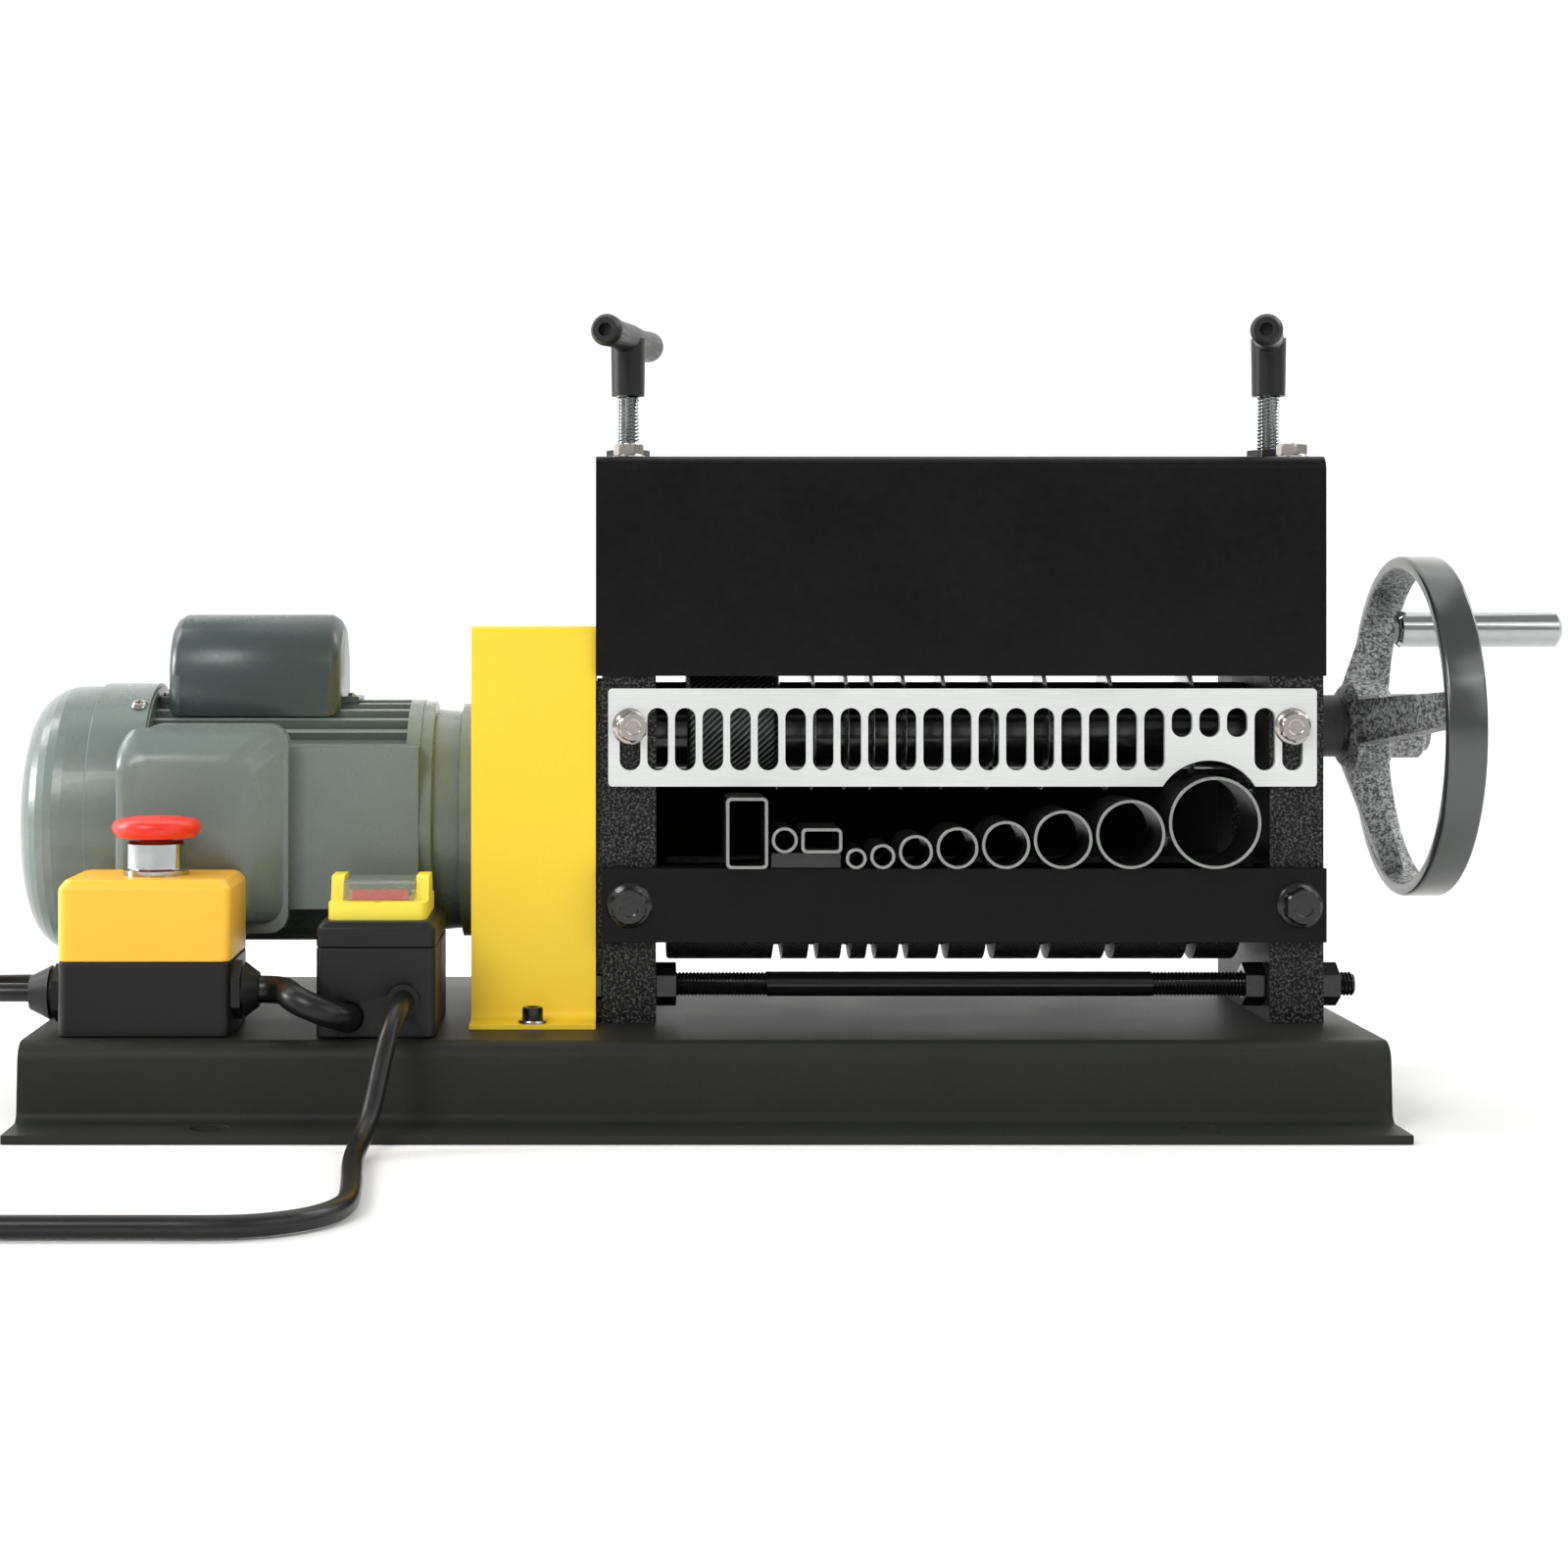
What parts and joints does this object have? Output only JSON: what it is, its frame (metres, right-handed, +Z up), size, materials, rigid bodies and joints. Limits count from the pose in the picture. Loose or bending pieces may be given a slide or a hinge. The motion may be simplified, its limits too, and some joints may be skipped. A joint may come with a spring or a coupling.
{
  "type": "electric wire stripping machine",
  "caption": "Bench wire stripper: geared motor, grooved feed roller, disc blades on a cranked shaft lowered by T-handle screws, wire guides, stop switch and mains lead.",
  "frame": {"origin": "centre of the four bench bolt holes, on the underside of the base flanges", "axes": "+X along the base from the motor to the handwheel, +Y from the wire inlet to the outlet, +Z up"},
  "size_m": [0.9228, 0.5099, 0.3829],
  "materials": {
    "satin_black": "satin black paint",
    "wrinkle_black": "black wrinkle paint",
    "bright_zinc": "bright zinc plate",
    "black_oxide": "black oxide",
    "brushed_plate": "brushed sheet steel",
    "steel": "turned steel",
    "blade_steel": "ground tool steel",
    "knurled_steel": "knurled steel",
    "bronze": "bearing bronze",
    "yellow_paint": "yellow powder coat",
    "yellow_plastic": "moulded yellow plastic",
    "motor_enamel": "grey-green enamel",
    "black_plastic": "moulded black plastic",
    "clear_film": "clear soft film",
    "red_plastic": "moulded red plastic",
    "green_plastic": "moulded green plastic",
    "chrome": "bright chrome plate",
    "cast_iron": "rough casting",
    "lead_rubber": "black flexible sheath",
    "spring_steel": "spring wire"
  },
  "bodies": {
    "frame": {"base_channel": "satin_black", "left_cheek": "wrinkle_black", "right_cheek": "wrinkle_black", "deck_bolts": "black_oxide", "top_cover": "satin_black", "bright_bolts": "bright_zinc", "lock_nuts": "black_oxide", "front_guard": "brushed_plate", "front_bar": "satin_black", "bar_bolts": "black_oxide", "guide_rail": "steel", "round_guides": "steel", "flat_guides": "steel", "tie_rod": "steel", "tie_rod_nuts": "black_oxide", "rear_hood": "satin_black", "roller_bushes": "bronze", "drive_guard": "yellow_paint", "panel_screws": "black_oxide", "motor_stator": "motor_enamel", "motor_fan_cover": "motor_enamel", "motor_gear_head": "motor_enamel", "capacitor_cover": "motor_enamel", "terminal_box": "motor_enamel", "motor_feet": "motor_enamel", "stop_box_base": "black_plastic", "stop_box_lid": "yellow_plastic", "stop_collar": "chrome", "cable_glands": "black_plastic", "switch_box": "black_plastic", "switch_lid": "black_plastic", "switch_bezel": "yellow_plastic", "switch_window": "clear_film", "return_springs": "spring_steel", "link_sleeve": "lead_rubber", "motor_lead": "lead_rubber", "mains_lead": "lead_rubber", "mains_coil": "lead_rubber", "mains_plug": "black_plastic"},
    "feed_roller_set": {"feed_roller": "knurled_steel", "feed_shaft": "steel", "drive_gear": "steel"},
    "motor_rotor": {"motor_shaft": "steel", "motor_pinion": "steel"},
    "blade_carriage": {"bearing_blocks": "cast_iron"},
    "blade_rotor": {"blade_shaft": "steel", "blades": "blade_steel", "blade_spacers": "black_oxide", "knurl_roller": "knurled_steel", "handwheel": "cast_iron", "crank_pin": "steel"},
    "crank_grip_body": {"crank_grip": "chrome"},
    "left_screw": {"left_t_screw": "steel", "left_t_handle": "black_plastic"},
    "right_screw": {"right_t_screw": "steel", "right_t_handle": "black_plastic"},
    "stop_press_body": {"stop_plunger": "red_plastic"},
    "stop_cap_body": {"stop_cap": "red_plastic"},
    "start_button_body": {"start_button": "green_plastic"},
    "stop_button_body": {"stop_button": "red_plastic"}
  },
  "joints": [
    {"name": "feed_roller_turn", "type": "hinge", "parent": "frame", "child": "feed_roller_set", "pos_m": [0.1265, -0.005, 0.09], "axis": [1, 0, 0], "continuous": true},
    {"name": "motor_turn", "type": "hinge", "parent": "frame", "child": "motor_rotor", "pos_m": [-0.2, 0.03881, 0.131], "axis": [1, 0, 0], "continuous": true},
    {"name": "blade_carriage_slide", "type": "slide", "parent": "frame", "child": "blade_carriage", "axis": [0, 0, 1], "range_m": [-0.02625, 0.00175], "deforming": ["return_springs"]},
    {"name": "blade_shaft_turn", "type": "hinge", "parent": "blade_carriage", "child": "blade_rotor", "pos_m": [0.1265, -0.005, 0.181], "axis": [1, 0, 0], "continuous": true},
    {"name": "crank_grip_turn", "type": "hinge", "parent": "blade_rotor", "child": "crank_grip_body", "pos_m": [0.4, 0.03268, 0.22923], "axis": [1, 0, 0], "continuous": true},
    {"name": "left_screw_turn", "type": "hinge", "parent": "blade_carriage", "child": "left_screw", "pos_m": [-0.034, -0.005, 0.3], "axis": [0, 0, 1], "range_deg": [-5401, 361]},
    {"name": "right_screw_turn", "type": "hinge", "parent": "blade_carriage", "child": "right_screw", "pos_m": [0.287, -0.005, 0.3], "axis": [0, 0, 1], "range_deg": [-5401, 361]},
    {"name": "stop_press", "type": "slide", "parent": "frame", "child": "stop_press_body", "axis": [0, 0, 1], "range_m": [-0.005, 0], "stiffness_N_per_m": 1500},
    {"name": "stop_twist", "type": "hinge", "parent": "stop_press_body", "child": "stop_cap_body", "pos_m": [-0.2585, -0.076, 0.13], "axis": [0, 0, 1], "range_deg": [0, 35], "stiffness_Nm_per_rad": 0.05},
    {"name": "start_press", "type": "slide", "parent": "frame", "child": "start_button_body", "axis": [0, 0, 1], "range_m": [-0.003, 0], "stiffness_N_per_m": 800},
    {"name": "stop_button_press", "type": "slide", "parent": "frame", "child": "stop_button_body", "axis": [0, 0, 1], "range_m": [-0.003, 0], "stiffness_N_per_m": 800}
  ],
  "couplings": [
    {"joint": "motor_turn", "follows": "feed_roller_turn", "ratio": -1.7273},
    {"joint": "left_screw_turn", "follows": "blade_carriage_slide", "rad_per_m": 3590.4},
    {"joint": "right_screw_turn", "follows": "blade_carriage_slide", "rad_per_m": 3590.4}
  ]
}
